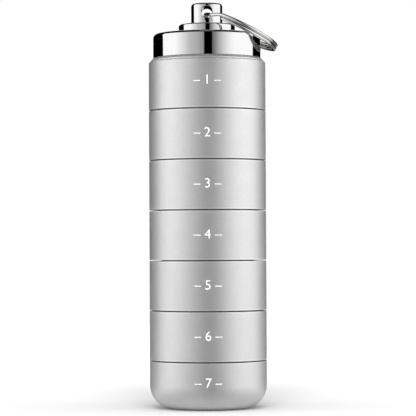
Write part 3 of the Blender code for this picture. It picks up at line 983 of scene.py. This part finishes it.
def winding_tree():
    """Winds a wire and tips it."""
    inputs = dict.fromkeys(("Radius", "Wire", "Free end", "Jog start", "Jog end", "Last end"), "Float")
    inputs |= {"Points": "Int", "Sides": "Int", "End round": "Float"}
    inputs |= {"Droop": "Float", "Turn": "Float", "Middle": "Vector"}
    tree, given = new_tree("winding", inputs)
    calc = partial(sum_of, tree)
    line = result_of(tree, "GeometryNodeCurvePrimitiveLine")
    dotted = result_of(tree, "GeometryNodeResampleCurve", {"Curve": line, "Count": given["Points"]})
    along = add_node(tree, "GeometryNodeSplineParameter").outputs["Factor"]
    whole = calc("SUBTRACT", given["Last end"], given["Free end"])
    angle = calc("MULTIPLY_ADD", along, whole, given["Free end"])
    level = ramp(tree, angle, given["Jog start"], given["Jog end"], start=-1.0, kind="SMOOTHSTEP")
    back = calc("MULTIPLY", given["Radius"], -1)
    x = calc("MULTIPLY_ADD", back, calc("COSINE", angle), given["Radius"])
    y = calc("MULTIPLY", back, calc("SINE", angle))
    z = calc("MULTIPLY", calc("DIVIDE", given["Wire"], 2), level)
    tip = result_of(tree, "ShaderNodeCombineXYZ", {1: given["Droop"], 2: given["Turn"]})
    moves = {"Geometry": moved_to(tree, dotted, x, y, z), "Translation": given["Middle"], "Rotation": tip}
    tipped = result_of(tree, "GeometryNodeTransform", moves)

    nearest = calc("MINIMUM", along, calc("SUBTRACT", 1, along))
    to_end = calc("MULTIPLY", nearest, calc("MULTIPLY", whole, given["Radius"]))
    short = calc("SUBTRACT", 1, calc("MINIMUM", 1, calc("DIVIDE", to_end, given["End round"])))
    full = calc("SQRT", calc("SUBTRACT", 1, calc("MULTIPLY", calc("MULTIPLY", short, short), 0.5)))
    sides = {"Resolution": given["Sides"], "Radius": calc("DIVIDE", given["Wire"], 2)}
    section = result_of(tree, "GeometryNodeCurvePrimitiveCircle", sides)
    sweep = {"Curve": tipped, "Profile Curve": section, "Scale": full, "Fill Caps": True}
    close_tree(tree, result_of(tree, "GeometryNodeCurveToMesh", sweep), given["Material"])
    return tree


def key_ring():
    """The whole split ring, leaning on the lid."""
    angles = {
        "Free end": RING_FREE_END_DEG,
        "Jog start": RING_JOG_DEG[0],
        "Jog end": RING_JOG_DEG[1],
        "Last end": RING_LAST_END_DEG,
        "Droop": RING_DROOP_DEG,
        "Turn": RING_TURN_DEG,
    }
    values = {label: math.radians(angle) for label, angle in angles.items()} | {
        "Radius": RING_RADIUS,
        "Wire": RING_WIRE,
        "Points": RING_POINTS,
        "Sides": WIRE_SIDES,
        "End round": WIRE_END_ROUND,
        "Middle": RING_MIDDLE,
        "Material": nickel,
    }
    return run_tree("wound_ring", winding_tree(), bpy.data.meshes.new("blank"), values)


place(key_ring(), "ring", "split_ring")

# %% [markdown]
# ## The studio
#
# Chrome looks like chrome only when there is something to reflect. The photographer stood a tent of soft
# light round the object, bright at the sides and falling off to a dark gap that runs from the camera up
# over the top. Behind the object the tent ends: black cloth hangs there and overhead, with a strip of white
# backdrop between, a pale ceiling further back, and a small light straight above. One node group holds all
# of this as a function of the direction, because both the world and the table need it.

# %% The light tent
TENT = (                        # degrees to the camera's right, and how bright the tent is there
    (-90, 1.37),
    (-72, 1.37),
    (-45, 0.88),
    (-36, 0.69),
    (-22, 0.59),
    (-6, 0.38),
    (10, 0.15),
    (18, 0.33),
    (27, 0.63),
    (36, 0.88),
    (50, 1.21),
    (62, 1.35),
    (90, 1.37),
)
TENT_SPAN_DEG = 180             # from the first of them to the last
TENT_GAP_DEG = (-6.2, 11.2)     # where the tent is open
CLOTH_START = 0.34              # how far back a direction points before the cloth begins
CLOTH_TURN, CLOTH_LEAN = -0.06, -0.31           # how that changes to the right and upwards
CLOTH_TOP_DEG = 32              # the highest tilt of a mirror that still shows the tent
CEILING_DEG = (58, 78)          # tilts of a mirror between which the pale ceiling comes in
CEILING_LEVEL = 0.75
OVERHEAD_HEIGHTS = (0.982, 0.996)       # of a direction, between which the small light comes in
OVERHEAD_LEVEL = 0.35
BACKDROP_DEG = (6, 14)          # to the right of straight behind
BACKDROP_LEVEL = 1.13
BACKDROP_TOP = (0.12, 0.30)     # heights of a direction between which the backdrop ends
EDGE_DEG, EDGE = 1.0, 0.02      # half the width of a soft edge, in degrees and as a share of 1


def tent_group():
    """The tent's brightness in a direction."""
    tree = bpy.data.node_groups.new("tent", "ShaderNodeTree")
    tree.interface.new_socket("Direction", in_out="INPUT", socket_type="NodeSocketVector")
    tree.interface.new_socket("Level", in_out="OUTPUT", socket_type="NodeSocketFloat")
    calc = partial(sum_of, tree)
    step = partial(ramp, tree, kind="SMOOTHSTEP")

    def between(value, low, high):
        begun = step(value, low - EDGE_DEG, low + EDGE_DEG)
        return calc("MULTIPLY", begun, step(value, high + EDGE_DEG, high - EDGE_DEG))

    way = tree.nodes.new("NodeGroupInput").outputs[0]
    x, y, z = add_node(tree, "ShaderNodeSeparateXYZ", {0: way}).outputs
    # a mirror that shows this direction to the camera faces the way (x, y - 1, z)
    back = calc("SUBTRACT", 1, y)
    facing = calc("ARCTAN2", x, back)
    level_part = calc("SQRT", calc("ADD", calc("MULTIPLY", x, x), calc("MULTIPLY", back, back)))
    tilt = calc("ARCTAN2", z, level_part)
    angle = calc("MULTIPLY", facing, math.degrees(2))       # a reflection turns twice as far
    share = calc("MULTIPLY_ADD", angle, 1 / TENT_SPAN_DEG, 0.5)
    colours = add_node(tree, "ShaderNodeValToRGB", {0: share})
    stops = colours.color_ramp.elements
    while len(stops) < len(TENT):
        stops.new(0.5)
    for stop, (degrees, level) in zip(stops, TENT):
        stop.position = degrees / TENT_SPAN_DEG + 0.5
        stop.color = (level, level, level, 1)
    lit = calc("MULTIPLY", colours.outputs[0], calc("SUBTRACT", 1, between(angle, *TENT_GAP_DEG)))

    reach = calc("MULTIPLY_ADD", x, CLOTH_TURN, calc("MULTIPLY_ADD", z, CLOTH_LEAN, y))
    top = math.radians(CLOTH_TOP_DEG)
    above = step(tilt, top - EDGE, top + EDGE)
    cloth = calc("MAXIMUM", step(reach, CLOTH_START - EDGE, CLOTH_START + EDGE), above)
    low = calc("SUBTRACT", 1, step(z, *BACKDROP_TOP))
    aside = calc("MULTIPLY", calc("ARCSINE", x), math.degrees(1))
    backdrop = calc("MULTIPLY", calc("MULTIPLY", between(aside, *BACKDROP_DEG), low), BACKDROP_LEVEL)
    ceiling = calc("MULTIPLY", step(tilt, *map(math.radians, CEILING_DEG)), CEILING_LEVEL)
    overhead = calc("MULTIPLY", step(z, *OVERHEAD_HEIGHTS), OVERHEAD_LEVEL)
    behind = calc("MULTIPLY", calc("MAXIMUM", calc("MAXIMUM", backdrop, overhead), ceiling), cloth)
    level = calc("MULTIPLY_ADD", lit, calc("SUBTRACT", 1, cloth), behind)
    tree.links.new(level, tree.nodes.new("NodeGroupOutput").inputs[0])
    return tree


tent = tent_group()


def tent_level(tree, way):
    """The tent's brightness, for another tree."""
    return result_of(tree, "ShaderNodeGroup", {"Direction": way}, node_tree=tent)


# %% The world
def studio():
    """The tent, and plain white to the camera."""
    world = bpy.data.worlds.new("studio")
    world.use_nodes = True
    bpy.context.scene.world = world
    tree = world.node_tree
    way = add_node(tree, "ShaderNodeTexCoord").outputs["Generated"]
    level = tent_level(tree, way)
    seen = add_node(tree, "ShaderNodeLightPath").outputs["Is Camera Ray"]
    background = tree.nodes["Background"]
    background.inputs["Color"].default_value = (1, 1, 1, 1)
    tree.links.new(sum_of(tree, "MAXIMUM", level, seen), background.inputs["Strength"])


studio()

# %% [markdown]
# ### A lamp for what isn't metal
#
# Metal shows the tent itself, but enamel and the table only add up the light that falls on them. A soft sun
# from high in front makes that up to a plain daylight level, and draws the soft shadow round the foot. It
# is kept out of reflections, so the metal doesn't change.

# %% The key lamp
LAMP_POWER = 2.5
LAMP_SOFTNESS_DEG = 36
LAMP_HEIGHT_DEG = 45


def key_lamp():
    """A soft sun from high in front."""
    data = bpy.data.lights.new("key_lamp", "SUN")
    data.energy = LAMP_POWER
    data.angle = math.radians(LAMP_SOFTNESS_DEG)
    lamp = new_object("key_lamp", data)
    lamp.rotation_euler = (math.radians(90 - LAMP_HEIGHT_DEG), 0, 0)
    lamp.visible_glossy = False


key_lamp()

# %% [markdown]
# ## The table
#
# The object stands on a white table. To the camera the table glows just enough to turn the background
# white, and its diffuse part still darkens where the object keeps the light away. A node that measures how
# much of the sky a point sees darkens the colour that the camera sees there, a painted shadow as deep as
# the photographer's. Metal sees the table as a glossy board would look: partly white, and partly a painted
# reflection of the tent round it, which the table gives off as a glow to glossy rays. Towards the camera
# the table ends soon, so that the tent's dark gap goes on below it in the chrome.

# %% A white table
TABLE_SIDE = 600 * MM
TABLE_FRONT = -160 * MM
TABLE_BACK = 600 * MM
TABLE_COLOUR = (0.90, 0.90, 0.90)
TABLE_ROUGHNESS = 0.9
TABLE_GLOW = 0.22
SHADE_REACH, SHADE_SAMPLES = 80 * MM, 4         # how near a thing must be to shade the table softly
TABLE_WHITES = (0.51, 0.17)     # its colour as metal sees it, under the object and far out
# painted reflection: the share of the tent's brightness that the table glows with far out, for metal
TABLE_PAINTED_REFLECTION = 0.45             # of the tent's brightness far out, as metal sees it
TABLE_NEAR, TABLE_FAR = 12 * MM, 28 * MM        # from the object's axis


def white_table():
    """The table's finish, which the camera and the metal see differently."""
    made, tree, shader = new_finish("white_table", TABLE_COLOUR, TABLE_ROUGHNESS)
    shader.inputs["Specular IOR Level"].default_value = 0.0
    calc = partial(sum_of, tree)
    rays = add_node(tree, "ShaderNodeLightPath").outputs
    where = add_node(tree, "ShaderNodeTexCoord").outputs["Object"]
    way = result_of(tree, "ShaderNodeVectorMath", {0: where}, operation="NORMALIZE")
    level = tent_level(tree, way)
    away = add_node(tree, "ShaderNodeVectorMath", {0: where}, operation="LENGTH").outputs["Value"]
    far_out = ramp(tree, away, TABLE_NEAR, TABLE_FAR)
    # painted reflection: far out, glossy rays see the tent as the table's glow
    painted_reflection_share = calc("MULTIPLY", far_out, rays["Is Glossy Ray"])
    painted_reflection = calc("MULTIPLY", calc("MULTIPLY", level, TABLE_PAINTED_REFLECTION), painted_reflection_share)
    strength = calc("MULTIPLY_ADD", rays["Is Camera Ray"], TABLE_GLOW, painted_reflection)
    near_white, far_white = TABLE_WHITES
    to_metal = calc("MULTIPLY_ADD", far_out, far_white - near_white, near_white - TABLE_COLOUR[0])
    white = calc("MULTIPLY_ADD", rays["Is Glossy Ray"], to_metal, TABLE_COLOUR[0])
    # painted shadow: where the object hides the sky, the colour that the camera sees is darker
    reach = {"Distance": SHADE_REACH}
    sky = add_node(tree, "ShaderNodeAmbientOcclusion", reach, samples=SHADE_SAMPLES).outputs["AO"]
    shade = calc("MULTIPLY_ADD", rays["Is Camera Ray"], calc("SUBTRACT", sky, 1), 1)
    tree.links.new(calc("MULTIPLY", white, shade), shader.inputs["Base Color"])
    shader.inputs["Emission Color"].default_value = (1, 1, 1, 1)
    tree.links.new(strength, shader.inputs["Emission Strength"])
    return made


def table():
    """A flat board."""
    left, right = -TABLE_SIDE, TABLE_SIDE
    front, back = TABLE_FRONT, TABLE_BACK
    mesh = bpy.data.meshes.new("table")
    corners = [(left, front, 0), (right, front, 0), (right, back, 0), (left, back, 0)]
    mesh.from_pydata(corners, [], [(0, 1, 2, 3)])
    mesh.materials.append(white_table())
    new_object("table", mesh)


table()
